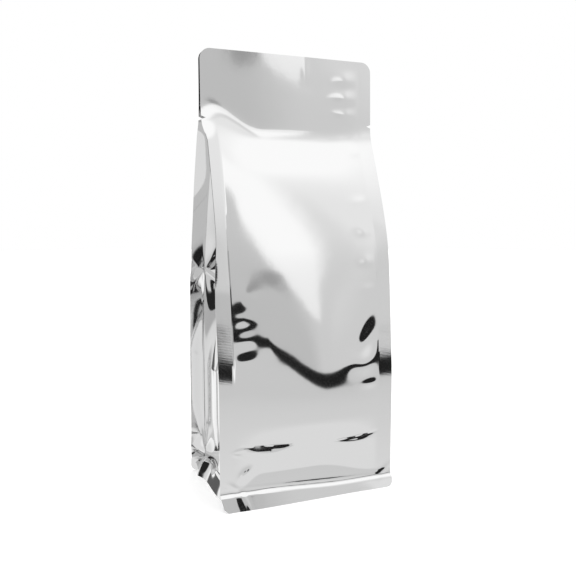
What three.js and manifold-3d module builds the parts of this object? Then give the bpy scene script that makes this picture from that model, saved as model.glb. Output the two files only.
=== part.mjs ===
// A flat bottom bag: a filled pouch of mirror-bright foil laminate that stands on its own base.
//
// It is made of two tall panels, front and back, whose edges are heat-sealed to a folded gusset on each
// side and to a bottom web. The seals stand out as flat fins: four upright ones at the corners, a hem along
// the foot of every face, and a flat band above the tear notches where the two panels close the mouth.
// The bag is shut and full, so it is one solid out to its skin.
//
// Millimetres. +Z up, +X to the right of the front panel, the front panel faces -Y.
// The origin is on the floor, under the middle of the bag.

import * as THREE from "three";
import { mergeVertices } from "three/addons/utils/BufferGeometryUtils.js";
import Module from "manifold-3d";

// Driving dimensions
const PANEL_WIDTH = 140; // front and back panel, edge to edge
const BAG_HEIGHT = 333; // standing height; the panel is 340 long along its slope
const BASE_DEPTH = 95; // between the front and back hems on the floor
const SEAL_WIDTH = 11.4; // every heat seal: upright fins and hems
const NOTCH_HEIGHT = 283; // tear notches; the flat band runs from here to the top edge
const FIN_THICKNESS = 1; // two laminate layers with their seal
const TOP_CORNER_RADIUS = 8;
const FOOT_CORNER_RADIUS = 6;

// Where the upright seals run, seen from the side
const BODY_HALF_DEPTH = 41; // the filled lower part
const BAND_HALF_DEPTH = 2.5; // the closed band at the top
const TAPER_SLOPE = 0.325; // how fast the panels part below the notches
const SHOULDER_ROUNDING = 5.8; // where the taper turns into the upright body
const NECK_ROUNDING = 1.2; // where the taper leaves the band

// How far the faces stand proud of their seals
const BELLY_DEPTH = 9.5; // front and back, at the middle of the filled part
const BELLY_LOW = 48; // full belly from this height,
const BELLY_HIGH = 70; // up to this one,
const BELLY_TOP = 185; // and none left above this one
const SIDE_BELLY = 2;

// The gusset folds inwards where the panels come together
const GUSSET_HALF_WIDTH = 41.5; // from a seal to the fold in the middle
const GUSSET_CLOSED_DEPTH = 9; // half depth of the bag under which its fold lies shut

// Feet: the web between the hems carries the contents on the floor
const HEM_FLARE = BASE_DEPTH / 2 - BODY_HALF_DEPTH;
const WEB_INSET = 5.5; // from the top of the hems in to the flat of the base
const STORAGE_CREASE_DEPTH = 0.8; // the mark of the flat-folded base across the front and back
const STORAGE_CREASE_HEIGHT = 45;
const STORAGE_CREASE_SPREAD = 5;

const NOTCH_DEPTH = 3.5;
const NOTCH_MOUTH = 2.6;

const FACE_COLUMNS = 16;
const GUSSET_COLUMNS = 5;

const HALF_WIDTH = PANEL_WIDTH / 2;
const FACE_HALF_WIDTH = HALF_WIDTH - SEAL_WIDTH;

// ---------------------------------------------------------------------------------------------------
// The bag's form, as functions of place

const clamp = THREE.MathUtils.clamp;
const ease = (x, from, to) => THREE.MathUtils.smoothstep(x, from, to);
const softMin = (a, b, k) => -k * Math.log(Math.exp(-a / k) + Math.exp(-b / k));
const softMax = (a, b, k) => -softMin(-a, -b, k);

// Half the distance between the front and back seals at a height.
function sealDepth(z) {
  const taper = BAND_HALF_DEPTH + TAPER_SLOPE * (NOTCH_HEIGHT - z);
  return softMin(softMax(taper, BAND_HALF_DEPTH, NECK_ROUNDING), BODY_HALF_DEPTH, SHOULDER_ROUNDING);
}

// 0 at the top of the hem and above, 1 on the floor.
const hemShare = (z) => clamp(1 - z / SEAL_WIDTH, 0, 1);

// How full the belly is at a height, from 0 to 1.
const fullness = (z) => ease(z, SEAL_WIDTH, BELLY_LOW) * (1 - ease(z, BELLY_HIGH, BELLY_TOP));

// Distance from the bag's middle plane to the front or back panel.
function panelDepth(x, z) {
  const across = clamp(Math.abs(x) / FACE_HALF_WIDTH, 0, 1);
  const crown = Math.pow(1 - across * across, 0.8);
  const crease = Math.exp(-(((z - STORAGE_CREASE_HEIGHT) / STORAGE_CREASE_SPREAD) ** 2));
  const belly = BELLY_DEPTH * fullness(z) * crown - STORAGE_CREASE_DEPTH * crease * crown;
  return sealDepth(z) + belly + HEM_FLARE * hemShare(z);
}

// How far the fold of a gusset lies inwards of the upright seals.
function foldDepth(z) {
  const half = sealDepth(z);
  const slack = Math.sqrt(Math.max(0, GUSSET_HALF_WIDTH ** 2 - half ** 2));
  return slack * ease(half, BAND_HALF_DEPTH, GUSSET_CLOSED_DEPTH) * ease(z, SEAL_WIDTH, 2 * BELLY_LOW);
}

// ---------------------------------------------------------------------------------------------------
// Grids and solids

// n + 1 evenly spaced values.
const spaced = (from, to, n) => Array.from({ length: n + 1 }, (_, i) => from + ((to - from) * i) / n);

// Levels are close together in the hem, at the storage crease and at the neck, and wider between.
const LEVELS = [
  ...spaced(0, SEAL_WIDTH, 2),
  ...spaced(16, 34, 3),
  ...spaced(39, 51, 4),
  ...spaced(60, 270, 20),
  ...spaced(275, 291, 4),
  ...spaced(305, BAG_HEIGHT, 2),
];

// A closed geometry from rows of points, each row a closed ring; the first and last rows are capped.
function loft(rings) {
  const n = rings[0].length;
  const points = rings.flat();
  const faces = [];
  for (let r = 0; r + 1 < rings.length; r++) {
    for (let i = 0; i < n; i++) {
      const a = r * n + i;
      const b = r * n + ((i + 1) % n);
      faces.push(a, b, b + n, a, b + n, a + n);
    }
  }
  const outline = rings[0].map((p) => new THREE.Vector2(p[0], p[1]));
  for (const [a, b, c] of THREE.ShapeUtils.triangulateShape(outline, [])) {
    faces.push(c, b, a);
  }
  const last = (rings.length - 1) * n;
  const top = rings.at(-1).map((p) => new THREE.Vector2(p[0], p[1]));
  for (const [a, b, c] of THREE.ShapeUtils.triangulateShape(top, [])) {
    faces.push(last + a, last + b, last + c);
  }
  return indexed(points, faces);
}

// A closed sheet: place(u, v) is its outer skin, and the inner skin lies at place(u, v) + inwards.
function sheet(us, vs, place, inwards, flip) {
  const nu = us.length;
  const outer = vs.flatMap((v) => us.map((u) => place(u, v)));
  const inner = outer.map((p) => p.map((c, k) => c + inwards[k]));
  const half = outer.length;
  const faces = [];
  const quad = (a, b, c, d) => (flip ? faces.push(a, c, b, a, d, c) : faces.push(a, b, c, a, c, d));
  for (let j = 0; j + 1 < vs.length; j++) {
    for (let i = 0; i + 1 < nu; i++) {
      const a = j * nu + i;
      quad(a, a + 1, a + 1 + nu, a + nu);
      quad(half + a, half + a + nu, half + a + 1 + nu, half + a + 1);
    }
  }
  const rim = [
    ...us.slice(0, -1).map((_, i) => i),
    ...vs.slice(0, -1).map((_, j) => j * nu + nu - 1),
    ...us.slice(0, -1).map((_, i) => half - 1 - i),
    ...vs.slice(0, -1).map((_, j) => (vs.length - 1 - j) * nu),
  ];
  rim.forEach((a, i) => {
    const b = rim[(i + 1) % rim.length];
    quad(a, half + a, half + b, b);
  });
  return indexed([...outer, ...inner], faces);
}

function indexed(points, faces) {
  const geometry = new THREE.BufferGeometry();
  geometry.setAttribute("position", new THREE.Float32BufferAttribute(points.flat(), 3));
  geometry.setIndex(faces);
  return geometry;
}

const wasm = await Module();
wasm.setup();

function solidOf(geometry) {
  const bare = geometry.clone();
  bare.deleteAttribute("normal");
  bare.deleteAttribute("uv");
  const merged = mergeVertices(bare);
  return new wasm.Manifold(
    new wasm.Mesh({
      numProp: 3,
      vertProperties: new Float32Array(merged.getAttribute("position").array),
      triVerts: new Uint32Array(merged.index.array),
    }),
  );
}

function geometryOf(solid) {
  const mesh = solid.getMesh();
  const geometry = new THREE.BufferGeometry();
  geometry.setAttribute("position", new THREE.BufferAttribute(mesh.vertProperties, 3));
  geometry.setIndex(new THREE.BufferAttribute(mesh.triVerts, 1));
  geometry.computeVertexNormals();
  return geometry;
}

// ---------------------------------------------------------------------------------------------------
// The parts of the bag

// The filled body between the panels, from the flat base to the top edge.
function body() {
  const rings = LEVELS.map((z) => {
    const skin = FIN_THICKNESS / 2;
    const inset = WEB_INSET * hemShare(z);
    const halfWidth = FACE_HALF_WIDTH - inset;
    const side = sealDepth(z) - inset - skin;
    const faceX = spaced(-halfWidth, halfWidth, FACE_COLUMNS);
    const front = faceX.map((x) => [x, inset - panelDepth(x, z) + HEM_FLARE * hemShare(z) + skin, z]);
    const gussetX = (y) => {
      const inwards = 1 - Math.abs(y) / side;
      const bulge = SIDE_BELLY * fullness(z) * (1 - (y / side) ** 2);
      return halfWidth + bulge - foldDepth(z) * inwards;
    };
    const gussetY = spaced(-side, side, 2 * GUSSET_COLUMNS).slice(1, -1);
    const right = gussetY.map((y) => [gussetX(y), y, z]);
    const back = front.map(([x, y]) => [-x, -y, z]);
    const left = right.map(([x, y]) => [-x, -y, z]);
    return [...front, ...right, ...back, ...left];
  });
  return solidOf(loft(rings));
}

// A prism right through the bag in Y. Its outline is given from the point (x, z), out of the bag: first the
// way to the side, then the way to the top or foot.
function acrossDepth(outline, x, z, toSide, toEnd) {
  const shape = new THREE.Shape(
    outline.map(([out, along]) => new THREE.Vector2(x + toSide * out, z + toEnd * along)),
  );
  const prism = new THREE.ExtrudeGeometry(shape, { depth: 2 * BASE_DEPTH, bevelEnabled: false });
  prism.translate(0, 0, -BASE_DEPTH);
  prism.rotateX(Math.PI / 2);
  return solidOf(prism);
}

// What is cut off a square corner to round it.
function cornerOutline(radius) {
  const over = 1;
  const arc = spaced(0, Math.PI / 2, 6).map((angle) => [
    radius * (Math.sin(angle) - 1),
    radius * (Math.cos(angle) - 1),
  ]);
  return [[-radius, over], ...arc, [over, -radius], [over, over]];
}

// The V of a tear notch.
const notchOutline = [
  [-NOTCH_DEPTH, 0],
  [1, -NOTCH_MOUTH / 2],
  [1, NOTCH_MOUTH / 2],
];

// The front (side -1) or back (side 1) panel with its fins, hem and band, cut to its outline.
function panel(side) {
  const columns = [
    -HALF_WIDTH,
    ...spaced(-FACE_HALF_WIDTH, FACE_HALF_WIDTH, FACE_COLUMNS),
    HALF_WIDTH,
  ];
  const skin = (x, z) => [x, side * panelDepth(x, z), z];
  return solidOf(sheet(columns, LEVELS, skin, [0, -side * FIN_THICKNESS, 0], side > 0));
}

// The seal between a gusset and the bottom web: it flares from the top of the hem to the floor.
function sideHem(side) {
  const rows = LEVELS.filter((z) => z <= SEAL_WIDTH + 1e-6);
  const shares = spaced(-1, 1, 8);
  const flare = (z) => HEM_FLARE * hemShare(z);
  const skin = (share, z) => [side * (FACE_HALF_WIDTH + flare(z)), share * (sealDepth(z) + flare(z)), z];
  return solidOf(sheet(shares, rows, skin, [-side * FIN_THICKNESS, 0, 0], side < 0));
}

let bag = body();
for (const side of [-1, 1]) {
  bag = bag.add(panel(side)).add(sideHem(side));
}
for (const side of [-1, 1]) {
  bag = bag
    .subtract(acrossDepth(cornerOutline(TOP_CORNER_RADIUS), side * HALF_WIDTH, BAG_HEIGHT, side, 1))
    .subtract(acrossDepth(cornerOutline(FOOT_CORNER_RADIUS), side * HALF_WIDTH, 0, side, -1))
    .subtract(acrossDepth(notchOutline, side * HALF_WIDTH, NOTCH_HEIGHT, side, 1));
}

const foil = new THREE.MeshStandardMaterial({ color: 0xd9dadc, roughness: 0.12, metalness: 1 });

const mesh = new THREE.Mesh(geometryOf(bag), foil);
mesh.name = "bag";

const group = new THREE.Group();
group.add(mesh);

export default group;
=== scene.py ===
# %% [markdown]
# A flat bottom bag in mirror-bright foil laminate
#
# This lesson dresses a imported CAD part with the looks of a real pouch. The pouch is laminated film: a front
# and a back panel, a folded gusset on each side and a web underneath, all heat-sealed to each other along
# narrow fins. It is filled and shut, so it stands up by itself. The film has no print at all. What the eye
# sees is only the studio mirrored in a sheet that bends, so the lesson is about two things: the exact bends
# of the film, and what stands round it to be mirrored.

# %% Load the frame
import math

import bpy
import numpy as np
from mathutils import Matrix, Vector


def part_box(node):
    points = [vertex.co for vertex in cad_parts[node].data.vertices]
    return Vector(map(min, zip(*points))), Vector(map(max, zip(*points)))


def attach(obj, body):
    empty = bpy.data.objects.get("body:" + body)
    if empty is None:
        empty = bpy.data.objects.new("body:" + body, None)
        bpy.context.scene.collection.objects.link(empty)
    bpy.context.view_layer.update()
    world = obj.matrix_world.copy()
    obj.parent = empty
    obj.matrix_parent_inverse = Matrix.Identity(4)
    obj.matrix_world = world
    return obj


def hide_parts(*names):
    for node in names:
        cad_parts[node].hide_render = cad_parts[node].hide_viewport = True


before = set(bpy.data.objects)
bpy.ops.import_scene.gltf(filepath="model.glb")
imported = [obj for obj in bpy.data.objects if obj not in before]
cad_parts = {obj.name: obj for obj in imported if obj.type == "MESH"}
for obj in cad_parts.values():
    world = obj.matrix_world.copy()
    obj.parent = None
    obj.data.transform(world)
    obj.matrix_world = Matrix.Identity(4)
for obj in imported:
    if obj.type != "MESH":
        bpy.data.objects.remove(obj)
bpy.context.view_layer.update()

# %% [markdown]
# The sizes are thought of in millimetres, as a pouch maker would, and turned to metres only where a mesh is
# written. The width and the height come from the CAD box. The width of the seals is the pouch's own, as in
# the CAD part.

# %% Sizes in millimetres
MM = 0.001
low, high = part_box("bag")
PANEL_WIDTH = (high.x - low.x) / MM
BAG_HEIGHT = (high.z - low.z) / MM
SEAL_WIDTH = 11.4
HALF_WIDTH = PANEL_WIDTH / 2
FACE_HALF = HALF_WIDTH - SEAL_WIDTH  # from the middle to the inner edge of a seal
print(f"panel {PANEL_WIDTH:.0f} x {BAG_HEIGHT:.0f} mm, {2 * FACE_HALF:.1f} mm between its seals")

# %% [markdown]
# The camera looks at the bag from the left and a little above, as in the photograph. A perspective camera
# was fitted to the bag's outline and seals, which gave the angle, the distance and the focal length.

# %% Camera
CAMERA_AZIMUTH = -21.87
CAMERA_ELEVATION = 6.0
CAMERA_DISTANCE = 533.6
CAMERA_TARGET = Vector((-0.3, 0.0, 154.9))
PICTURE_SIZE = 576
FOCAL_PIXELS = 674.6
SENSOR = 36.0


def direction(azimuth, elevation):
    """The way to a place round the bag: azimuth 0 is straight out of the front panel, 90 is to the right."""
    turn, rise = math.radians(azimuth), math.radians(elevation)
    return Vector((math.sin(turn) * math.cos(rise), -math.cos(turn) * math.cos(rise), math.sin(rise)))


bpy.ops.object.select_all(action="DESELECT")
bpy.ops.object.camera_add()
camera = bpy.context.object
camera.name = "camera"
camera.data.sensor_width = SENSOR
camera.data.lens = SENSOR * FOCAL_PIXELS / PICTURE_SIZE
camera.data.clip_start = 0.01
outwards = direction(CAMERA_AZIMUTH, CAMERA_ELEVATION)
camera.location = (CAMERA_TARGET + outwards * CAMERA_DISTANCE) * MM
camera.rotation_euler = outwards.to_track_quat("Z", "Y").to_euler()
bpy.context.scene.camera = camera
bpy.context.scene.view_settings.view_transform = "Standard"
print(f"camera: {camera.data.lens:.1f} mm lens, {CAMERA_DISTANCE:.0f} mm away")

# %% [markdown]
# Two small helpers serve every material. Colours are written as sRGB hex values, as a colour picker shows
# them, and one function turns them to the linear values that Blender works with. The other adds a node,
# with its settings and its inputs, which are plain values or the outputs of other nodes.

# %% Helpers for materials
SRGB_OFFSET = 0.055
SRGB_POWER = 2.4


def grey_to_linear(value):
    if value <= 0.04045:
        return value / 12.92
    return ((value + SRGB_OFFSET) / (1 + SRGB_OFFSET)) ** SRGB_POWER


def linear(hex_colour):
    parts = (int(hex_colour[i : i + 2], 16) / 255 for i in (1, 3, 5))
    return (*(grey_to_linear(part) for part in parts), 1.0)


def add_node(tree, kind, settings=None, **inputs):
    """Adds a node. An input is named as its socket is, with _ for a space, or in0, in1 by its number, and
    its value is a plain one, another node's output, or another node, which stands for its first output."""
    node = tree.nodes.new(kind)
    for name, value in (settings or {}).items():
        setattr(node, name, value)
    for name, value in inputs.items():
        by_number = name[:2] == "in" and name[2:].isdigit()
        socket = node.inputs[int(name[2:]) if by_number else name.replace("_", " ")]
        if isinstance(value, bpy.types.Node):
            value = value.outputs[0]
        if isinstance(value, bpy.types.NodeSocket):
            tree.links.new(value, socket)
        else:
            socket.default_value = value
    return node


# %% [markdown]
# ## The foil laminate
#
# The real material is PET film with a vapour-deposited aluminium layer under it, laminated to clear PE that
# seals. Aluminium under gloss film mirrors like a slightly grey mirror: fully metallic, almost no
# roughness. Three things keep it from looking like a computer's perfect mirror. It is never quite flat, so
# reflections wobble a little every few millimetres. Its PE side has a slight orange peel, which frays the
# edges of what it mirrors. And the jaws that sealed it pressed a fine knurl into the seals, worn unevenly.
# All three are far too shallow to model, so they are bumps in the material, worked out from sizes in
# millimetres.

# %% Knurl of the seals
KNURL_PITCH = 1.1  # about 0.5 mm on the pouch; drawn coarser, so that the picture can show it
KNURL_DEPTH = 0.004
KNURL_PATCH = 9.0
KNURL_EDGE = (0.3, 1.0)  # where it begins and is full, outwards from the seal's inner edge
WAVES_PER_UNIT = 20 / math.tau  # what a wave node draws at a scale of 1


def add_knurl(tree, place):
    """The height of the pressed knurl: waves across the seals, deeper in some patches than in others."""
    apart = add_node(tree, "ShaderNodeSeparateXYZ", in0=place)
    off_middle = add_node(tree, "ShaderNodeMath", {"operation": "ABSOLUTE"}, in0=apart.outputs["X"])
    in_fin = add_node(
        tree,
        "ShaderNodeMapRange",
        Value=off_middle,
        From_Min=(FACE_HALF + KNURL_EDGE[0]) * MM,
        From_Max=(FACE_HALF + KNURL_EDGE[1]) * MM,
    )
    patches = add_node(tree, "ShaderNodeTexNoise", Vector=place, Scale=1 / (KNURL_PATCH * MM), Detail=2.0)
    depth = add_node(tree, "ShaderNodeMath", {"operation": "MULTIPLY"}, in0=patches, in1=in_fin)
    waves = add_node(
        tree,
        "ShaderNodeTexWave",
        {"bands_direction": "Z"},
        Vector=place,
        Scale=1 / (WAVES_PER_UNIT * KNURL_PITCH * MM),
        Distortion=3.0,
        Detail=2.0,
        Detail_Scale=2.0,
    )
    return add_node(tree, "ShaderNodeMath", {"operation": "MULTIPLY"}, in0=waves.outputs["Fac"], in1=depth)


# %% Foil material
WOBBLE = 16.0
WOBBLE_DEPTH = 0.03
ORANGE_PEEL = 2.2
ORANGE_PEEL_DEPTH = 0.0025


def new_material(name):
    material = bpy.data.materials.new(name)
    material.use_nodes = True
    material.node_tree.nodes.clear()
    return material, material.node_tree


def make_foil():
    material, tree = new_material("metallised_PET_PE_laminate")
    place = add_node(tree, "ShaderNodeTexCoord").outputs["Object"]
    wobble = add_node(tree, "ShaderNodeTexNoise", Vector=place, Scale=1 / (WOBBLE * MM), Detail=1.5)
    peel = add_node(tree, "ShaderNodeTexNoise", Vector=place, Scale=1 / (ORANGE_PEEL * MM), Detail=1.0)
    knurl = add_knurl(tree, place)
    normal = None
    for height, depth in ((wobble, WOBBLE_DEPTH), (peel, ORANGE_PEEL_DEPTH), (knurl, KNURL_DEPTH)):
        bump = add_node(tree, "ShaderNodeBump", Distance=depth * MM, Strength=1.0, Height=height)
        if normal:
            tree.links.new(normal, bump.inputs["Normal"])
        normal = bump.outputs[0]
    shader = add_node(
        tree,
        "ShaderNodeBsdfPrincipled",
        Base_Color=linear("#dbdbdb"),
        Metallic=1.0,
        Roughness=0.06,
        Normal=normal,
    )
    add_node(tree, "ShaderNodeOutputMaterial", Surface=shader)
    return material


foil = make_foil()
print("material:", foil.name)

# %% [markdown]
# ## How the film runs
#
# The bag's form is written as functions of place: x to the right and z upwards, in millimetres, give how far
# the film stands out. A few small helpers turn straight runs into rounded ones, as stiff film takes its
# turns.

# %% Helpers for forms
def ease(value, start, end):
    """0 before start, 1 past end, and a smooth turn between."""
    t = np.clip((value - start) / (end - start), 0, 1)
    return t * t * t * (t * (6 * t - 15) + 10)


def between(value, start, full, fade, end):
    """Rises from 0 at start to 1 at full, and falls from fade back to 0 at end."""
    return ease(value, start, full) * (1 - ease(value, fade, end))


def blend(first, second, share):
    return first + (second - first) * share


def soft_min(a, b, rounding):
    return -rounding * np.logaddexp(-a / rounding, -b / rounding)


def soft_max(a, b, rounding):
    return -soft_min(-a, -b, rounding)


def past(value, start, rounding):
    """How far a value is past start, with a rounded beginning."""
    return rounding * np.logaddexp(0, (value - start) / rounding)


def rightness(x):
    """0 at the left edge of a panel, 1 at its right edge."""
    return (np.clip(x / HALF_WIDTH, -1, 1) + 1) / 2


# %% [markdown]
# ### The foot
#
# At the foot every face turns outwards. From a line some 20 mm up the film leans out a little, then it steps
# out over the top of the hem, where the bottom web is sealed in, and the hem itself stands almost upright.

# %% Form of the foot
FOOT_LEAN = 0.078
HEM_STEP_TOP = 12.7
HEM_TOP = 9.7
HEM_STEP = 1.9


def foot_turn(z, arc, hem_slope, lowered=0.0):
    """How far a face turns out at the foot. The arc is the height of the line where it begins."""
    lean = FOOT_LEAN * np.clip(arc - z, 0, None)
    step = HEM_STEP * (1 - ease(z + lowered, HEM_TOP, HEM_STEP_TOP))
    return lean + step + hem_slope * np.clip(HEM_TOP - lowered - z, 0, None)


print(f"hem: {HEM_TOP} mm high, {HEM_STEP} mm out")

# %% [markdown]
# ### The front panel: its seals
#
# The upright seals are the bag's ribs: seen from the side they run 2.5 mm from the middle in the flat band,
# part below the tear notches and turn upright at the shoulder. Left and right don't run quite alike, because
# no filled pouch is straight: the left side parts sooner and slower and has a rounder shoulder. Between the
# seals the panel stays flat a little longer, folds along a line and then catches up, which makes the bright
# yoke under the band.

# %% Form of the front panel: seals
# A pair is for the left and the right seal.
BAND_HALF_DEPTH = 2.5
BAND_LEAN = (0.013, 0.03)  # the flat band leans back a little
BAND_LEAN_ACROSS = (0, 60)
BAND_LEAN_FROM = 291
BAND_LEAN_ROUNDING = 4
PARTING_HEIGHT = (290, 277)
PARTING_SLOPE = (0.312, 0.400)
PARTING_ROUNDING = (1.6, 1.2)
NECK_HEIGHT = 271
NECK_RISE = (18, 4)
NECK_RISE_ACROSS = ((-78, -20), (25, 70))
NECK_ROUNDING = 0.7
CATCH_UP = 244  # the height at which the middle of the panel has caught up with its seals
SHOULDER_ROUNDING = (7.5, 6.0)
UPRIGHT_DEPTH = (43.6, 42.6)
UPRIGHT_DEPTH_AT = 60
LEAN_OUT = 0.005  # the upright part leans out as it rises,
LEAN_IN = (0.062, 0.065)  # and further up it leans in
LEAN_IN_FROM = 95
LEAN_IN_ROUNDING = 8


def neck_height(x):
    """Where the flat band ends: higher at the left seal than in the middle and at the right one."""
    (left_rise, right_rise), (left, right) = NECK_RISE, NECK_RISE_ACROSS
    return NECK_HEIGHT + left_rise * (1 - ease(x, *left)) + right_rise * ease(x, *right)


def front_seal(x, z):
    """How far forward the front panel's seals run, and the film that is stretched between them."""
    right = rightness(x)
    slope, start, fold = blend(*PARTING_SLOPE, right), blend(*PARTING_HEIGHT, right), neck_height(x)
    ribs = BAND_HALF_DEPTH + slope * (start - z)
    flap = BAND_HALF_DEPTH + slope * (start - CATCH_UP) / (fold - CATCH_UP) * (fold - z)
    leaning = soft_max(soft_min(ribs, flap, NECK_ROUNDING), BAND_HALF_DEPTH, blend(*PARTING_ROUNDING, right))
    upright = blend(*UPRIGHT_DEPTH, right) + LEAN_OUT * (z - UPRIGHT_DEPTH_AT)
    upright -= blend(*LEAN_IN, right) * past(z, LEAN_IN_FROM, LEAN_IN_ROUNDING)
    band_lean = blend(*BAND_LEAN, ease(x, *BAND_LEAN_ACROSS))
    lean_back = band_lean * past(z, BAND_LEAN_FROM, BAND_LEAN_ROUNDING)
    return soft_min(leaning, upright, blend(*SHOULDER_ROUNDING, right)) - lean_back


print(f"front seals: {front_seal(-FACE_HALF, 60.0):.1f} and {front_seal(FACE_HALF, 60.0):.1f} mm forward")

# %% [markdown]
# ### The front panel: its belly
#
# The filling pushes the free film out past its seals, most of all low down and right of the middle. The
# belly starts at a low arc between the seals, under which the film turns out to the hem. The hem is a
# little lower at the right and flares more there.

# %% Form of the front panel: belly and foot
FRONT_ARC = 14
FRONT_ARC_RISE = 10.5
FRONT_ARC_ACROSS = (-60, -36, 0, 66)
BELLY = 7.4
BELLY_FULL_AT = 62
BELLY_FADE = (66, 190)
BELLY_TO_RIGHT = 0.45
BELLY_SOFTNESS = 0.55  # 0 starts it with an edge at the arc, 1 without any
FRONT_HEM_SLOPE = (0.20, 0.36)
FRONT_HEM_SLOPE_ACROSS = (25, 60)
FRONT_HEM_LOWERED = 3.4
FRONT_HEM_LOWERED_ACROSS = (-50, 45)


def arc_height(x):
    """Where the front panel begins to turn out at the foot."""
    return FRONT_ARC + FRONT_ARC_RISE * between(x, *FRONT_ARC_ACROSS)


def belly(x, z):
    """How far the filling pushes the panel out past its seals."""
    across, arc = np.clip(x / FACE_HALF, -1, 1), arc_height(x)
    share = np.clip((z - arc) / (BELLY_FULL_AT - arc), 0, 1)
    rise = blend(share * (2 - share), ease(share, 0, 1), BELLY_SOFTNESS)
    over_width = (1 - across**2) * (1 + BELLY_TO_RIGHT * across)
    return BELLY * rise * (1 - ease(z, *BELLY_FADE)) * over_width


def front_foot(x, z):
    """The front panel's turn at the foot."""
    hem_slope = blend(*FRONT_HEM_SLOPE, ease(x, *FRONT_HEM_SLOPE_ACROSS))
    lowered = FRONT_HEM_LOWERED * ease(x, *FRONT_HEM_LOWERED_ACROSS)
    return foot_turn(z, arc_height(x), hem_slope, lowered)


print(f"belly: {belly(15.0, 64.0):.1f} mm past the seals")

# %% [markdown]
# ### The front panel: its fins
#
# Past the seals' inner edges the film runs on as flat fins. They lie back a little from the filled panel,
# and the left one splays forward under its notch, where the gusset pushes it open.

# %% Form of the front panel: fins
# A pair is for the left and the right fin.
FIN_SPLAY = (6.0, 0.5)
FIN_SPLAY_HEIGHTS = (140, 205, 262, 284)
FIN_LIE = (1.3, 0.9)
FIN_LIE_HEIGHTS = ((78, 136, 150, 230), (78, 130, 140, 210))


def fin_splay(x, z):
    """How far forward a fin's edge stands under its notch."""
    return np.where(x < 0, *FIN_SPLAY) * between(z, *FIN_SPLAY_HEIGHTS)


def fin_run(x, z):
    """How the upright fins leave the line of the panel: they lie back from its pillow, and splay."""
    out = np.clip((np.abs(x) - FACE_HALF) / SEAL_WIDTH, 0, 1)
    left, right = (depth * between(z, *heights) for depth, heights in zip(FIN_LIE, FIN_LIE_HEIGHTS))
    return fin_splay(x, z) * out - np.where(x < 0, left, right) * (out > 0)


print(f"left front fin: splays {FIN_SPLAY[0]} mm forward")

# %% [markdown]
# ### The front panel: its marks
#
# Dents, puckers beside the seals and two storage creases make this pouch itself. A sculpting brush would
# press them in as well. Here each is one smooth hill or ledge, with its place, size and height in one row of
# a table, so that a mark can be moved by a millimetre and tried again. The seals hold the film, so the marks
# fade out towards them.

# %% Marks of the front panel
FRONT_DENTS = [
    # x, z, half length, half width, turn in degrees, height
    (-50, 139, 13, 11, 0, 0.1),  # pillow beside the left seal
    (-54, 154, 13, 10, -10, 0.6),  # its upper end
    (-33, 122, 10, 11, -20, 0.45),  # its lower end, towards the middle
    (48.5, 116.5, 19, 7.5, 60, -2.0),  # feather-shaped dent by the right seal
    (42.5, 102, 13, 9, 8, 1.8),  # small dome under it
    (50.5, 84, 8, 3, 0, 0.42),  # thumb mark under the dome
    (-52, 25, 6, 2.8, 40, 1.4),  # dimple over the left foot
    (13, 324, 3.5, 10, 0, 0.12),  # wave in the flat band
    (51, 318, 12, 5, 0, 0.65),  # puckers of the band beside its right end
    (52, 304, 13, 5, 0, 0.85),
    (52, 291, 12, 4.5, 0, 0.65),
    (54, 262, 9, 4, 0, 0.35),  # puckers beside the right seal
    (54, 222, 9, 4, 0, 0.5),
    (54, 200, 8, 4, 0, 0.5),
    (54, 177, 8, 4, 0, 0.45),
    (54, 156, 7, 3.5, 0, 0.4),
]
FRONT_LEDGES = [
    # middle x, half length, height of the edge, its rise, thickness, slope at the left and at the right
    (-34, 22, 45.2, -0.04, 5.5, 0.165, 0.49),
    (38, 23, 44.2, 0.05, 4.6, 0.43, 0.225),
]
FOOT_DENTS = [
    (-54, 7, 9, 2.6, -75, 0.38),  # wrinkle across the hem
    (-50, 4, 7, 1.4, -70, 0.2),  # a shorter one beside it
    (-60, 17, 4, 1.5, -40, 0.3),  # crease over the left corner
    (63.5, 12, 8, 2.2, 36, 0.3),  # fold over the right corner
    (-55, 43.5, 4, 0.8, 10, 0.25),  # wrinkles at the outer end of the left ledge
    (-57, 40, 3, 0.8, -20, 0.2),
    (0, 12.8, 55, 1.0, -3, 0.09),  # the film draws in over the hem
    (2, 44.4, 9, 1.3, 3, 0.05),  # faint crease between the two ledges
]
print(f"front panel: {len(FRONT_DENTS) + len(FOOT_DENTS)} dents, {len(FRONT_LEDGES)} ledges")

# %% [markdown]
# A dent is a smooth hill, longer than wide. A ledge leans in slowly and ends in a sharp edge. The marks of
# fingers beside the left seal are a short row of waves.

# %% Form of the front panel
LEDGE_ROUNDING = 0.35
LEDGE_EDGE = 0.9
FINGER_DEPTH = 0.22
FINGER_PITCH = 15.5
FINGER_HEIGHTS = (98, 106, 136, 150)
FINGER_REACH = (-54, -36)
FINGER_X, FINGER_Z = -50, 127
FINGER_TILT = 0.15
SEAL_HOLD = 10  # a power: the higher, the closer to the seals the film is free


def dents(x, z, places):
    """Smooth swellings (height above 0) and dents (below 0), each a long hill turned in the film's plane."""
    total = np.zeros_like(x)
    for centre_x, centre_z, length, width, turn, height in places:
        cos, sin = math.cos(math.radians(turn)), math.sin(math.radians(turn))
        along = (x - centre_x) * cos + (z - centre_z) * sin
        over = (z - centre_z) * cos - (x - centre_x) * sin
        total += height * np.exp(-((along / length) ** 2) - (over / width) ** 2)
    return total


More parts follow.
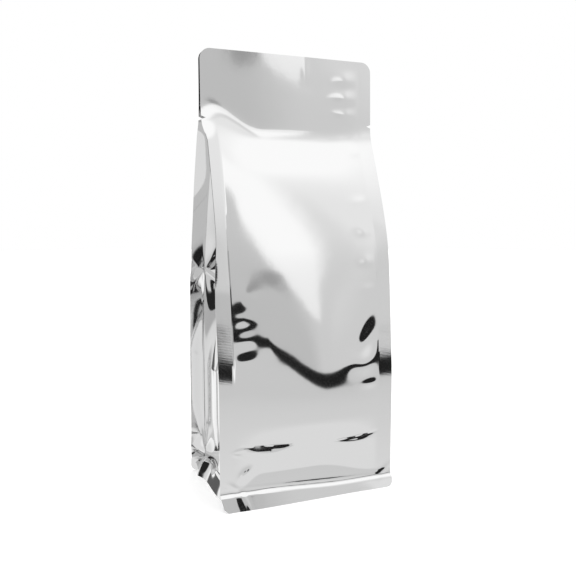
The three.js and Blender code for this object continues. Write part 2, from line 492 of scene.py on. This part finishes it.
def ledges(x, z, places):
    """Storage creases: just under its edge the film leans in like a shallow ledge, and the edge is sharp."""
    total = np.zeros_like(x)
    for middle, half, edge_z, rise, thickness, left_slope, right_slope in places:
        edge = edge_z + rise * (x - middle)
        along = np.clip((x - middle) / half, -1, 1)
        here = thickness * (1 - along**2)
        lean = soft_max(here - (edge - z), 0, LEDGE_ROUNDING)
        past_edge = here * (1 - ease(z, edge, edge + LEDGE_EDGE))
        total -= blend(left_slope, right_slope, (along + 1) / 2) * np.where(z < edge, lean, past_edge)
    return total


def left_fingers(x, z):
    """Short puckers that run in from the left seal, like the marks of fingers."""
    reach = (1 - ease(x, *FINGER_REACH)) * between(z, *FINGER_HEIGHTS)
    waves = (z - FINGER_TILT * (x - FINGER_X) - FINGER_Z) / FINGER_PITCH
    return -FINGER_DEPTH * reach * np.sin(math.tau * waves)


def held(x):
    """1 on the free film, falling to 0 where the seals hold it."""
    return 1 - np.clip(x / FACE_HALF, -1, 1) ** SEAL_HOLD


def front_depth(x, z):
    """How far forward the front panel stands."""
    marks = dents(x, z, FRONT_DENTS) + ledges(x, z, FRONT_LEDGES) + left_fingers(x, z)
    film = belly(x, z) + marks * held(x)
    foot = front_foot(x, z) + dents(x, z, FOOT_DENTS)
    return front_seal(x, z) + np.where(np.abs(x) < FACE_HALF, film, fin_run(x, z)) + foot


print(f"front panel: {front_depth(np.array([15.0]), np.array([64.0]))[0]:.1f} mm forward at its belly")

# %% [markdown]
# ### Cutting the film
#
# A panel starts as a flat rectangle of film: a grid, standing upright. Its corners are cut round and its
# tear notches are cut in while it is flat, which is also the order in the factory. A corner is cut by a few
# straight cuts that touch an arc. Only then is the sheet bent: every point of it is moved to where the form
# says. That is sculpting, done in code, because the bends are what the mirror shows and have to be smooth.
#
# First come helpers that read and move a mesh's points and select its faces by their place.

# %% Helpers for points and faces
def select_only(obj):
    bpy.ops.object.select_all(action="DESELECT")
    obj.select_set(True)
    bpy.context.view_layer.objects.active = obj


def points(obj):
    """All the points of a mesh, in millimetres."""
    flat = np.empty(len(obj.data.vertices) * 3)
    obj.data.vertices.foreach_get("co", flat)
    return flat.reshape(-1, 3) / MM


def move_points(obj, x, y, z):
    obj.data.vertices.foreach_set("co", (np.stack([x, y, z], 1) * MM).ravel())
    obj.data.update()


def select_faces(obj, test):
    """Enters edit mode with only the faces selected whose centre, in millimetres, passes the test."""
    bpy.ops.object.mode_set(mode="EDIT")
    bpy.ops.mesh.select_mode(type="FACE")
    bpy.ops.mesh.select_all(action="DESELECT")
    bpy.ops.object.mode_set(mode="OBJECT")
    centres = np.empty(len(obj.data.polygons) * 3)
    obj.data.polygons.foreach_get("center", centres)
    x, y, z = (centres.reshape(-1, 3) / MM).T
    obj.data.polygons.foreach_set("select", test(x, y, z))
    bpy.ops.object.mode_set(mode="EDIT")


# %% [markdown]
# Now the sheet itself and its cuts. Only the faces near a cut are selected, so the rest of the grid stays
# whole.

# %% A sheet of film
ROW_EVENNESS = 0.62  # 1 spaces the rows evenly, less brings them closer at the foot, where the film creases


def film_sheet(name, columns, rows, faces_back=False):
    """A flat upright grid as wide and high as the panel."""
    bpy.ops.object.select_all(action="DESELECT")
    bpy.ops.mesh.primitive_grid_add(
        x_subdivisions=columns,
        y_subdivisions=rows,
        size=1,
        location=(0, 0, BAG_HEIGHT / 2 * MM),
        rotation=(math.pi / 2, 0, math.pi if faces_back else 0),
    )
    sheet = bpy.context.object
    sheet.name = sheet.data.name = name
    sheet.scale = (PANEL_WIDTH * MM, BAG_HEIGHT * MM, 1)
    bpy.ops.object.transform_apply(location=True, rotation=True, scale=True)
    x, y, z = points(sheet).T
    share = z / BAG_HEIGHT
    move_points(sheet, x, y, BAG_HEIGHT * blend(share**2, share, ROW_EVENNESS))
    return sheet


# %% Helpers for cutting film
CORNER_CUTS = 7
CORNER_MARGIN = 2
CUT_SNAP = 1e-6
NOTCH_HEIGHT = 283
NOTCH_DEPTH = 3.5
NOTCH_MOUTH = 2.6
NOTCH_MARGIN = 4


def round_corner(sheet, side, end, across, along):
    """Cuts one corner round. side is -1 for left and 1 for right, end is -1 for foot and 1 for top."""
    centre_x = side * (HALF_WIDTH - across)
    centre_z = (BAG_HEIGHT if end > 0 else 0) - end * along
    for cut in range(CORNER_CUTS):
        angle = (cut + 0.5) / CORNER_CUTS * math.pi / 2
        cos, sin = math.cos(angle), math.sin(angle)
        on_arc = Vector((centre_x + side * across * cos, 0, centre_z + end * along * sin))
        select_faces(
            sheet,
            lambda x, y, z: np.minimum(side * (x - centre_x), end * (z - centre_z)) > -CORNER_MARGIN,
        )
        bpy.ops.mesh.bisect(
            plane_co=on_arc * MM,
            plane_no=Vector((side * cos / across, 0, end * sin / along)).normalized(),
            clear_outer=True,
            threshold=CUT_SNAP,
        )
        bpy.ops.object.mode_set(mode="OBJECT")


def cut_notch(sheet, side):
    """Cuts the V of a tear notch into one edge."""
    tip_x = side * (HALF_WIDTH - NOTCH_DEPTH)
    for up in (-1, 1):
        select_faces(
            sheet, lambda x, y, z: (side * (x - tip_x) > -1) & (np.abs(z - NOTCH_HEIGHT) < NOTCH_MARGIN)
        )
        bpy.ops.mesh.bisect(
            plane_co=Vector((tip_x, 0, NOTCH_HEIGHT)) * MM,
            plane_no=Vector((-side * NOTCH_MOUTH / 2, 0, up * NOTCH_DEPTH)).normalized(),
            threshold=CUT_SNAP,
        )
        bpy.ops.object.mode_set(mode="OBJECT")
    slope = NOTCH_MOUTH / 2 / NOTCH_DEPTH
    select_faces(sheet, lambda x, y, z: np.abs(z - NOTCH_HEIGHT) < slope * side * (x - tip_x))
    bpy.ops.mesh.delete(type="FACE")
    bpy.ops.object.mode_set(mode="OBJECT")


# %% [markdown]
# A bent sheet is finished alike in every place: it gets the film's thickness, inwards from its skin, and
# smooth shading everywhere but at its cut edges.

# %% Helpers for finishing film
FILM = 0.3  # about 0.12 mm on the pouch; thicker, so that the picture can show the cut edges
SHARP_FROM = 50  # degrees: the cut edges are sharp, and the film's bends aren't
SEAL_LINE_REACH = 0.7
SEAL_LINE_GAP = 0.25


def on_seal_lines(x):
    """Moves the columns beside a seal's edge close to it on both sides, so that the film bends just there."""
    off = np.abs(x) - FACE_HALF
    moved = np.sign(x) * (FACE_HALF + np.sign(off) * SEAL_LINE_GAP)
    return np.where(np.abs(off) < SEAL_LINE_REACH, moved, x)


def face_the_way(sheet, way):
    """Turns the sheet over, where most of it faces away from that way."""
    normals = np.empty(len(sheet.data.polygons) * 3)
    sheet.data.polygons.foreach_get("normal", normals)
    if normals.reshape(-1, 3).mean(0) @ np.array(way) < 0:
        sheet.data.flip_normals()


def finish_film(sheet):
    """Gives the sheet its thickness and smooth shading."""
    select_only(sheet)
    wall = sheet.modifiers.new("film", "SOLIDIFY")
    wall.thickness = FILM * MM
    wall.offset = -1
    bpy.ops.object.modifier_apply(modifier=wall.name)
    bpy.ops.object.shade_smooth_by_angle(angle=math.radians(SHARP_FROM))
    sheet.data.materials.clear()
    sheet.data.materials.append(foil)
    sheet.data.update()
    print(f"{sheet.name}: {len(sheet.data.polygons)} faces")
    return sheet


# %% [markdown]
# With all that the front panel is quickly made: a sheet, four round corners, two notches, and the bend. A
# fin that splays is seen foreshortened from the front, so its edge moves in as well.

# %% Front panel
PANEL_GRID = (140, 326)
TOP_CORNER = 8
LEFT_FOOT_CORNER = (6, 15)
RIGHT_FOOT_CORNER = (5.5, 5.5)


def make_front_panel():
    sheet = film_sheet("front_panel", *PANEL_GRID)
    for side, foot_corner in ((-1, LEFT_FOOT_CORNER), (1, RIGHT_FOOT_CORNER)):
        round_corner(sheet, side, 1, TOP_CORNER, TOP_CORNER)
        round_corner(sheet, side, -1, *foot_corner)
        cut_notch(sheet, side)
    x, _, z = points(sheet).T
    x = on_seal_lines(x)
    out = np.clip(np.abs(x) - FACE_HALF, 0, None)
    foreshortened = out * (1 - np.sqrt(1 - (fin_splay(x, z) / SEAL_WIDTH) ** 2))
    move_points(sheet, x - np.sign(x) * foreshortened, -front_depth(x, z), z)
    return finish_film(sheet)


front_panel = make_front_panel()

# %% [markdown]
# ### Pinches
#
# Where stiff film is bent two ways at once it crumples to a pinch: a cone of folds, whose height grows with
# the distance from a point and swings up and down round it. The gussets have them, and the fins beside them.
# A crease brush would have to draw fold by fold. A formula keeps every fold straight from the point on, as
# film that can't stretch does.

# %% Form of a pinch
RIDGE_SHARPNESS = 0.98  # 1 makes the folds' ridges quite sharp
RIDGE_HEIGHT = 1.4


def pinch(across, z, places):
    """Cones of folds: they are sharp at their point and fade out with distance."""
    total = np.zeros_like(across)
    for centre, centre_z, reach, steepness, folds, turn in places:
        away = np.hypot(across - centre, z - centre_z)
        angle = np.arctan2(z - centre_z, across - centre) - math.radians(turn)
        zigzag = np.arcsin(RIDGE_SHARPNESS * np.sin(folds * angle)) / RIDGE_HEIGHT
        total += steepness * away * np.exp(-((away / reach) ** 2)) * zigzag
    return total


# %% [markdown]
# ### The back panel
#
# It is cut from the same film and sealed to the same gussets. The photograph shows only the inner side of
# its left fin, which is pinched where the gusset crumples. The panel itself isn't shown, so it has a calmer
# form of the front's kind: a belly, storage creases, puckers and a few soft dents.

# %% Marks of the back panel
BACK_DENTS = [
    (44, 140, 15, 14, 0, 0.4),  # pillow
    (-50, 128, 15, 6, -60, 1.4),  # swelling beside the left seal, and one under it
    (-44, 106, 15, 7, -8, 0.7),
    (-48, 200, 8, 4, 0, 0.25),  # puckers beside the seals
    (-50, 178, 8, 4, 0, 0.25),
    (50, 214, 9, 5, 0, 0.2),
    (42, 300, 9, 4, 0, 0.2),
    (12, 306, 4, 14, 6, 0.25),  # waves in the flat band
    (-24, 310, 4, 12, -6, -0.25),
    (-63, 5, 7, 1.8, 50, 0.7),  # wrinkle across the hem
]
BACK_LEDGES = [
    (30, 22, 44.6, -0.02, 4.5, 0.3, 0.24),
    (-38, 16, 44.2, 0.03, 3.5, 0.24, 0.3),
]
BACK_FIN_PINCHES = [
    # x, z, reach, steepness, folds, turn
    (-58.6, 168, 15, 0.30, 2, 100),
    (-58.6, 14, 15, 0.35, 2, 10),
]
print(f"back panel: {len(BACK_DENTS)} dents, {len(BACK_LEDGES)} ledges, {len(BACK_FIN_PINCHES)} pinches")

# %% Form of the back panel
# A pair is for the left and the right seal.
BACK_PARTING_SLOPE = (0.335, 0.340)
BACK_PARTING_ROUNDING = 2.0
BACK_SHOULDER_ROUNDING = 6.0
BACK_UPRIGHT_DEPTH = 41.2
BACK_LEAN_OUT = 0.01
BACK_LEAN_IN = (0.062, 0.060)
BACK_LEAN_IN_FROM = 98
BACK_ARC = 20
BACK_HEM_SLOPE = 0.25
BACK_FIN_SPLAY = 2.5
BACK_FIN_SPLAY_HEIGHTS = (200, 250, 268, 284)
BACK_FIN_HOLD = 0.1  # the share of the fin over which the seal holds it flat


def back_seal(x, z):
    """How far back the back panel's seals run."""
    right = rightness(x)
    ribs = BAND_HALF_DEPTH + blend(*BACK_PARTING_SLOPE, right) * (NOTCH_HEIGHT - z)
    leaning = soft_max(ribs, BAND_HALF_DEPTH, BACK_PARTING_ROUNDING)
    upright = BACK_UPRIGHT_DEPTH + BACK_LEAN_OUT * (z - UPRIGHT_DEPTH_AT)
    upright -= blend(*BACK_LEAN_IN, right) * past(z, BACK_LEAN_IN_FROM, LEAN_IN_ROUNDING)
    return soft_min(leaning, upright, BACK_SHOULDER_ROUNDING)


def back_foot(z):
    return foot_turn(z, BACK_ARC, BACK_HEM_SLOPE)


def back_depth(x, z):
    """How far back the back panel stands."""
    film = belly(-x, z) + (dents(x, z, BACK_DENTS) + ledges(x, z, BACK_LEDGES)) * held(x)
    out = np.clip((np.abs(x) - FACE_HALF) / SEAL_WIDTH, 0, 1)
    splay = BACK_FIN_SPLAY * out * between(z, *BACK_FIN_SPLAY_HEIGHTS)
    fin = splay - pinch(x, z, BACK_FIN_PINCHES) * ease(out, 0, BACK_FIN_HOLD)
    return back_seal(x, z) + np.where(np.abs(x) < FACE_HALF, film, fin) + back_foot(z)


print(f"back seals: {back_seal(-FACE_HALF, 60.0):.1f} mm back")

# %% Back panel
def make_back_panel():
    sheet = film_sheet("back_panel", *PANEL_GRID, faces_back=True)
    for side in (-1, 1):
        round_corner(sheet, side, 1, TOP_CORNER, TOP_CORNER)
        round_corner(sheet, side, -1, *RIGHT_FOOT_CORNER)
        cut_notch(sheet, side)
    x, _, z = points(sheet).T
    x = on_seal_lines(x)
    move_points(sheet, x, back_depth(x, z), z)
    return finish_film(sheet)


back_panel = make_back_panel()

# %% [markdown]
# ### The gussets
#
# A gusset is a sheet folded in half along its height and sealed between the two panels. Its two halves are
# always 41.5 mm wide. Where the panels are close together, the fold lies deep inside. Where the filling
# holds them 83 mm apart, it is pulled flat. Between the two the film can't follow without crumpling, which
# leaves a sharp pinch beside the seal, and the foot has another. Over the notches the band is sealed shut,
# so there the gusset comes out almost to its edge. Folded by hand, the sheet would stretch somewhere. Here
# the depth of the fold is worked out from the two widths, so it stays as wide as it was cut.

# %% Form of a gusset
GUSSET_HALF_WIDTH = 41.5
GUSSET_ARC = 17
GUSSET_HEM_SLOPE = 0.3
GUSSET_FLAT_TO = 60
GUSSET_FOLDED_FROM = 150
GUSSET_BULGE = 1.6
GUSSET_BULGE_HEIGHTS = (12, 60, 110, 170)
FLUTE_DEPTH = 0.8
FLUTE_HEIGHTS = (24, 60, 130, 180)
GROOVE = 3.0  # how deep the film lies between the edges of the band
GROOVE_FROM = (3, 9)  # where it is begun and reached, above the notches
GUSSET_HOLD = 12  # a power, as for the panels


def band_edge(z):
    """How far out film lies between the edges of the band: it follows their rounded corners."""
    up_corner = np.clip(z - BAG_HEIGHT + TOP_CORNER, 0, TOP_CORNER)
    return HALF_WIDTH - GROOVE - TOP_CORNER + np.sqrt(TOP_CORNER**2 - up_corner**2)


def gusset_out(share, y, z, half, pinches):
    """How far to the side a gusset stands, at a share of the way from its middle fold to a seal."""
    slack = np.sqrt(np.clip(GUSSET_HALF_WIDTH**2 - half**2, 0, None))
    fold = slack * ease(z, GUSSET_FLAT_TO, GUSSET_FOLDED_FROM) * (1 - np.abs(share))
    bulge = GUSSET_BULGE * between(z, *GUSSET_BULGE_HEIGHTS) * (1 - share**2)
    flutes = FLUTE_DEPTH * np.sin(math.tau * np.abs(share)) * between(z, *FLUTE_HEIGHTS)
    free = 1 - share**GUSSET_HOLD
    flare = foot_turn(z, GUSSET_ARC, GUSSET_HEM_SLOPE)
    out = FACE_HALF + flare + bulge - fold + (flutes + pinch(y, z, pinches)) * free
    begun, reached = (NOTCH_HEIGHT + up for up in GROOVE_FROM)
    return blend(out, band_edge(z), ease(z, begun, reached))


# %% Gussets
GUSSET_GRID = (84, 260)
LEFT_PINCHES = [
    # y, z, reach, steepness, folds, turn
    (35, 168, 17, 0.42, 3, 20),
    (36, 13, 18, 0.42, 3, 100),
    (-38, 9, 12, 0.40, 2, 30),
]
RIGHT_PINCHES = [
    (-34, 165, 16, 0.40, 3, -15),
    (35, 13, 15, 0.40, 4, 25),
    (-36, 12, 15, 0.42, 4, 5),
    (20, 196, 15, 0.20, 2, 60),
]


def make_gusset(name, side, pinches):
    sheet = film_sheet(name, *GUSSET_GRID)
    flat_x, _, z = points(sheet).T
    share = flat_x / HALF_WIDTH * -side  # -1 at the front seal, 1 at the back seal
    seal_x = np.full_like(z, side * FACE_HALF)
    front = front_seal(seal_x, z) + front_foot(seal_x, z) - 2 * FILM
    back = back_seal(seal_x, z) + back_foot(z) - 2 * FILM
    half = (front + back) / 2
    y = (back - front) / 2 + share * half
    move_points(sheet, side * gusset_out(share, y, z, half, pinches), y, z)
    face_the_way(sheet, Vector((side, 0, 0)))
    return finish_film(sheet)


left_gusset = make_gusset("left_gusset", -1, LEFT_PINCHES)
right_gusset = make_gusset("right_gusset", 1, RIGHT_PINCHES)

# %% [markdown]
# ### The bottom web
#
# The fifth sheet lies under the filling. It is sealed to the four others along the hems and drops from there
# to the floor, on which its middle lies flat. Hardly any of it is seen, but without it the bag would be open
# from below, so it gets a coarse grid and a plain form.

# %% Bottom web
WEB_GRID = (80, 64)
WEB_DROP = 7.0
WEB_REST = 0.4


def make_bottom_web():
    sheet = film_sheet("bottom_web", *WEB_GRID)
    flat_x, _, flat_z = points(sheet).T
    share_x, share_y = flat_x / HALF_WIDTH, 2 * flat_z / BAG_HEIGHT - 1
    x = share_x * FACE_HALF
    at_hem = np.full_like(x, SEAL_WIDTH)
    front, back = front_depth(x, at_hem) - FILM, back_depth(x, at_hem) - FILM
    y = (back - front) / 2 + share_y * (front + back) / 2
    inwards = np.minimum((1 - np.abs(share_x)) * FACE_HALF, (1 - np.abs(share_y)) * (front + back) / 2)
    z = WEB_REST + (SEAL_WIDTH - WEB_REST) * (1 - ease(inwards, 0, WEB_DROP))
    move_points(sheet, x, y, z)
    face_the_way(sheet, Vector((0, 0, -1)))
    return finish_film(sheet)


bottom_web = make_bottom_web()

# %% [markdown]
# ### The top seal
#
# Between the upper edges of the two panels the pressed seal shows from above as a narrow strip. Joining the
# edges point by point would spoil their clean cut, so a strip of film closes the gap just under them.

# %% Top seal
TOP_SEAL_GRID = (60, 4)
TOP_GROOVE = 1.2


def make_top_seal():
    sheet = film_sheet("top_seal", *TOP_SEAL_GRID)
    flat_x, _, flat_z = points(sheet).T
    z = np.full_like(flat_x, BAG_HEIGHT - TOP_GROOVE)
    x = flat_x / HALF_WIDTH * band_edge(z)
    front, back = front_depth(x, z) - FILM, back_depth(x, z) - FILM
    move_points(sheet, x, blend(-front, back, flat_z / BAG_HEIGHT), z)
    face_the_way(sheet, Vector((0, 0, 1)))
    return finish_film(sheet)


top_seal = make_top_seal()

# %% [markdown]
# All six sheets take the place of the one CAD solid, which is hidden, and ride on the one body.

# %% Tie the sheets to the frame
for piece in (front_panel, back_panel, left_gusset, right_gusset, bottom_web, top_seal):
    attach(piece, "root")
    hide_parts("bag")
print("pieces ride on root and replace the CAD solid")

# %% [markdown]
# ## Floor
#
# A plain pale floor, matt white: one disc, so wide that its edge is far behind the bag in every view. It is
# for the camera alone: the foil doesn't mirror it, because the studio painted below already holds the table
# as the foil sees it.

# %% Floor
FLOOR_RADIUS = 4000
MOTTLE = 100 / 3


def make_floor():
    material, tree = new_material("matt_white_paint")
    place = add_node(tree, "ShaderNodeTexCoord").outputs["Object"]
    mottle = add_node(tree, "ShaderNodeTexNoise", Vector=place, Scale=1 / (MOTTLE * MM), Detail=3.0)
    tone = add_node(
        tree,
        "ShaderNodeMix",
        {"data_type": "RGBA"},
        Factor=mottle,
        in6=linear("#f4f4f4"),
        in7=linear("#f7f7f7"),
    )
    shader = add_node(
        tree,
        "ShaderNodeBsdfPrincipled",
        Base_Color=tone.outputs[2],
        Roughness=0.9,
        Emission_Color=linear("#ffffff"),
        Emission_Strength=0.3,
    )
    add_node(tree, "ShaderNodeOutputMaterial", Surface=shader)

    bpy.ops.object.select_all(action="DESELECT")
    bpy.ops.mesh.primitive_circle_add(vertices=96, radius=FLOOR_RADIUS * MM, fill_type="NGON")
    floor = bpy.context.object
    floor.name = "floor"
    floor.data.materials.append(material)
    floor.visible_glossy = False
    return floor


make_floor()
print("floor:", FLOOR_RADIUS * 2, "mm across")

# %% [markdown]
# ## The studio, as the foil sees it
#
# Mirror foil has no colour of its own, so all that it shows is the studio. Lamps and cards could stand
# round the bag as objects, but they would show up in other views and light each other. So the studio is
# painted as a function of direction, in the world's nodes, where every edge can be placed to a degree.
#
# Round the bag stand a duller wall to the left, a tall soft strip light a little right of the front, whose
# lower end comes to a point, a brighter wall to the right and a bright ceiling above. Low in front, between
# the table and the walls, is a dark gap that rises to the left. Behind the bag the same bay is mirrored, and
# behind to the left stands a white sweep beside a black flag, which the left gusset shows.
#
# First come the angles of the ray that looks. The bay's own azimuth counts up to 80 degrees and back down.

# %% Studio: which way a ray looks
BAY_TURN = 80.0
world = bpy.data.worlds.new("studio")
bpy.context.scene.world = world
world.use_nodes = True
studio = world.node_tree
studio.nodes.clear()
look = add_node(studio, "ShaderNodeTexCoord").outputs["Generated"]
parts = add_node(studio, "ShaderNodeSeparateXYZ", in0=look).outputs
forward = add_node(studio, "ShaderNodeMath", {"operation": "MULTIPLY"}, in0=parts["Y"], in1=-1.0)
turn = add_node(studio, "ShaderNodeMath", {"operation": "ARCTAN2"}, in0=parts["X"], in1=forward)
azimuth = add_node(studio, "ShaderNodeMath", {"operation": "DEGREES"}, in0=turn)
rise = add_node(studio, "ShaderNodeMath", {"operation": "ARCSINE"}, in0=parts["Z"])
elevation = add_node(studio, "ShaderNodeMath", {"operation": "DEGREES"}, in0=rise)
from_turn = add_node(studio, "ShaderNodeMath", {"operation": "SUBTRACT"}, in0=azimuth, in1=BAY_TURN)
off_turn = add_node(studio, "ShaderNodeMath", {"operation": "ABSOLUTE"}, in0=from_turn)
bay = add_node(studio, "ShaderNodeMath", {"operation": "SUBTRACT"}, in0=BAY_TURN, in1=off_turn)
print("studio: azimuth, elevation and bay")

# %% [markdown]
# Each wall is one layer over the last: how grey it looks in the foil, and between which elevations and
# azimuths it fades in, in degrees. A wide fade makes a soft edge, and one that runs down fades out upwards.

# %% Studio: walls
LEFT_WALL_GREY = 0.735
WALLS = [
    # grey, elevation fade, azimuth fade
    (0.78, (8, 34), None),  # wall to the left, brighter higher up
    (0.985, (34, 46), None),  # ceiling
    (0.795, None, (17.7, 23.7)),  # between the strip light and the wall to the right
    (0.91, (8, 38), (17.7, 23.7)),
    (0.80, (38, 28), (25.0, 29.0)),  # wall to the right
    (0.90, (5, 26), (25.5, 29.5)),
    (0.985, (32, 46), None),  # ceiling again, over all of them
]
grey = LEFT_WALL_GREY
for tone, climb, along in WALLS:
    share = 1.0
    for angle, fade in ((elevation, climb), (bay, along)):
        if fade:
            share = add_node(
                studio,
                "ShaderNodeMapRange",
                {"interpolation_type": "SMOOTHSTEP"},
                Value=angle,
                From_Min=float(fade[0]),
                From_Max=float(fade[1]),
                To_Max=share,
            )
    grey = add_node(studio, "ShaderNodeMix", Factor=share, in2=grey, in3=tone)
print("studio:", len(WALLS), "walls")

# %% [markdown]
# The strip light's left edge bends away to the left as it rises, by 12 degrees over its height above the
# lamp's lower end. Its right edge leans to the right, with the square of the height, and gets softer. Both
# edges are one distance in degrees each, and the lamp is where both are passed.

# %% Studio: strip light
LAMP_END = 10.2
LAMP_BEND = 12.0
LAMP_LEFT = (16.4, 17.6)
LAMP_RIGHT = 23.9
LAMP_LEAN = 0.0015
LAMP_SOFT = 0.5
LAMP_SOFTER = 0.09  # with each degree up
LAMP_FULL_AT = 20.0
LAMP_GREYS = (0.9, 0.985)  # at its lower end, and where it is full
above_end = add_node(studio, "ShaderNodeMath", {"operation": "SUBTRACT"}, in0=elevation, in1=LAMP_END)
above_end = add_node(studio, "ShaderNodeMath", {"operation": "MAXIMUM"}, in0=above_end, in1=0.1)
bend = add_node(studio, "ShaderNodeMath", {"operation": "DIVIDE"}, in0=LAMP_BEND, in1=above_end)
left_of_bend = add_node(studio, "ShaderNodeMath", {"operation": "SUBTRACT"}, in0=bay, in1=bend)
past_left = add_node(
    studio,
    "ShaderNodeMapRange",
    {"interpolation_type": "SMOOTHSTEP"},
    Value=left_of_bend,
    From_Min=LAMP_LEFT[0],
    From_Max=LAMP_LEFT[1],
)
lean = add_node(studio, "ShaderNodeMath", {"operation": "POWER"}, in0=above_end, in1=2.0)
lean = add_node(studio, "ShaderNodeMath", {"operation": "MULTIPLY"}, in0=lean, in1=LAMP_LEAN)
softness = add_node(
    studio, "ShaderNodeMath", {"operation": "MULTIPLY_ADD"}, in0=above_end, in1=LAMP_SOFTER, in2=LAMP_SOFT
)
to_edge = add_node(studio, "ShaderNodeMath", {"operation": "SUBTRACT"}, in0=LAMP_RIGHT, in1=bay)
to_edge = add_node(studio, "ShaderNodeMath", {"operation": "ADD"}, in0=to_edge, in1=lean)
to_edge = add_node(studio, "ShaderNodeMath", {"operation": "DIVIDE"}, in0=to_edge, in1=softness)
in_lamp = add_node(
    studio,
    "ShaderNodeMapRange",
    {"interpolation_type": "SMOOTHSTEP"},
    Value=to_edge,
    From_Min=-1.0,
    From_Max=0.6,
    To_Max=past_left,
)
lamp = add_node(
    studio,
    "ShaderNodeMapRange",
    Value=elevation,
    From_Min=LAMP_END,
    From_Max=LAMP_FULL_AT,
    To_Min=LAMP_GREYS[0],
    To_Max=LAMP_GREYS[1],
)
grey = add_node(studio, "ShaderNodeMix", Factor=in_lamp, in2=grey, in3=lamp)
print("studio: strip light")

# %% [markdown]
# The gap's middle line rises to the left of a knee with the square of the distance, as the table's round
# corner does in perspective. Above the gap stand the walls, below it lies the table, which is brighter near
# the bag.

# %% Studio: dark gap and table
GAP_GREY = 0.12
GAP_HEIGHT = -6.8
GAP_HALF = 3.3
GAP_SOFT = 0.7
GAP_KNEE = 26.0
GAP_RISE = 0.04
GAP_RISE_REACH = 16.0
TABLE_GREYS = (0.855, 0.78)  # near the bag and far from it
TABLE_FADE = (-24.0, -12.0)
left_of_knee = add_node(studio, "ShaderNodeMath", {"operation": "SUBTRACT"}, in0=GAP_KNEE, in1=bay)
left_of_knee = add_node(studio, "ShaderNodeClamp", Value=left_of_knee, Min=0.0, Max=GAP_RISE_REACH)
gap_rise = add_node(studio, "ShaderNodeMath", {"operation": "POWER"}, in0=left_of_knee, in1=2.0)
gap_middle = add_node(
    studio, "ShaderNodeMath", {"operation": "MULTIPLY_ADD"}, in0=gap_rise, in1=GAP_RISE, in2=GAP_HEIGHT
)
above_gap = add_node(studio, "ShaderNodeMath", {"operation": "SUBTRACT"}, in0=elevation, in1=gap_middle)
table = add_node(
    studio,
    "ShaderNodeMapRange",
    Value=elevation,
    From_Min=TABLE_FADE[0],
    From_Max=TABLE_FADE[1],
    To_Min=TABLE_GREYS[0],
    To_Max=TABLE_GREYS[1],
)
for edge, below in ((GAP_HALF, GAP_GREY), (-GAP_HALF, table)):
    past_edge = add_node(
        studio,
        "ShaderNodeMapRange",
        {"interpolation_type": "SMOOTHSTEP"},
        Value=above_gap,
        From_Min=edge - GAP_SOFT,
        From_Max=edge + GAP_SOFT,
    )
    grey = add_node(studio, "ShaderNodeMix", Factor=past_edge, in2=below, in3=grey)
print("studio: gap and table")

# %% [markdown]
# The gusset looks to the back left. There stands the white sweep, brightest in its middle, and beside it,
# towards the front, a black flag. The flat film misses the flag, and the folds of the film catch it, and so
# does a smaller flag above it for the folds at the foot. Low behind the bag lies a dark card, which shows
# where the foot flares. A white card on the table to the front left lights the gusset by way of the back
# fin. Beside the strip light's end stands the grey head of a light stand, which is a soft smudge in the
# front panel.

# %% Studio: sweep, flags, cards and light stand
SWEEP_WAY = (-160, -6)
DARK_CARD_WAY = (-157, -5)
WHITE_CARD_WAY = (-24, -14)
FLAG_WAY = (-108, 4)
SMALL_FLAG_WAY = (-126, 30)
FLAG_GREY = 0.14
STAND_WAY = (18.2, 15.0)
for way, inner, outer, tone in (
    (SWEEP_WAY, 28, 40, 0.84),
    (SWEEP_WAY, 3, 24, 0.95),
    (DARK_CARD_WAY, 5, 9, 0.35),
    (WHITE_CARD_WAY, 8, 18, 0.96),
    (FLAG_WAY, 18, 27, FLAG_GREY),
    (SMALL_FLAG_WAY, 8, 13, FLAG_GREY),
    (STAND_WAY, 0, 1.7, 0.58),
):
    facing = add_node(
        studio, "ShaderNodeVectorMath", {"operation": "DOT_PRODUCT"}, in0=look, in1=direction(*way)
    )
    share = add_node(
        studio,
        "ShaderNodeMapRange",
        {"interpolation_type": "SMOOTHSTEP"},
        Value=facing.outputs["Value"],
        From_Min=math.cos(math.radians(outer)),
        From_Max=math.cos(math.radians(inner)),
    )
    grey = add_node(studio, "ShaderNodeMix", Factor=share, in2=grey, in3=tone)
print("studio: sweep, flags, cards and light stand")

# %% [markdown]
# Last, the grey that the foil shows is turned to the light that it has to take, with the same formula as for
# colours, over the share that the foil reflects. The camera itself sees plain white behind the bag.

# %% Studio: light
FOIL_REFLECTS = 0.72
lifted = add_node(studio, "ShaderNodeMath", {"operation": "ADD"}, in0=grey, in1=SRGB_OFFSET)
lifted = add_node(studio, "ShaderNodeMath", {"operation": "DIVIDE"}, in0=lifted, in1=1 + SRGB_OFFSET)
light = add_node(studio, "ShaderNodeMath", {"operation": "POWER"}, in0=lifted, in1=SRGB_POWER)
light = add_node(studio, "ShaderNodeMath", {"operation": "DIVIDE"}, in0=light, in1=FOIL_REFLECTS)
seen = add_node(studio, "ShaderNodeLightPath").outputs["Is Camera Ray"]
strength = add_node(studio, "ShaderNodeMix", Factor=seen, in2=light, in3=1.0)
background = add_node(studio, "ShaderNodeBackground", Color=(1, 1, 1, 1), Strength=strength)
add_node(studio, "ShaderNodeOutputWorld", Surface=background)
print("studio:", len(studio.nodes), "nodes")
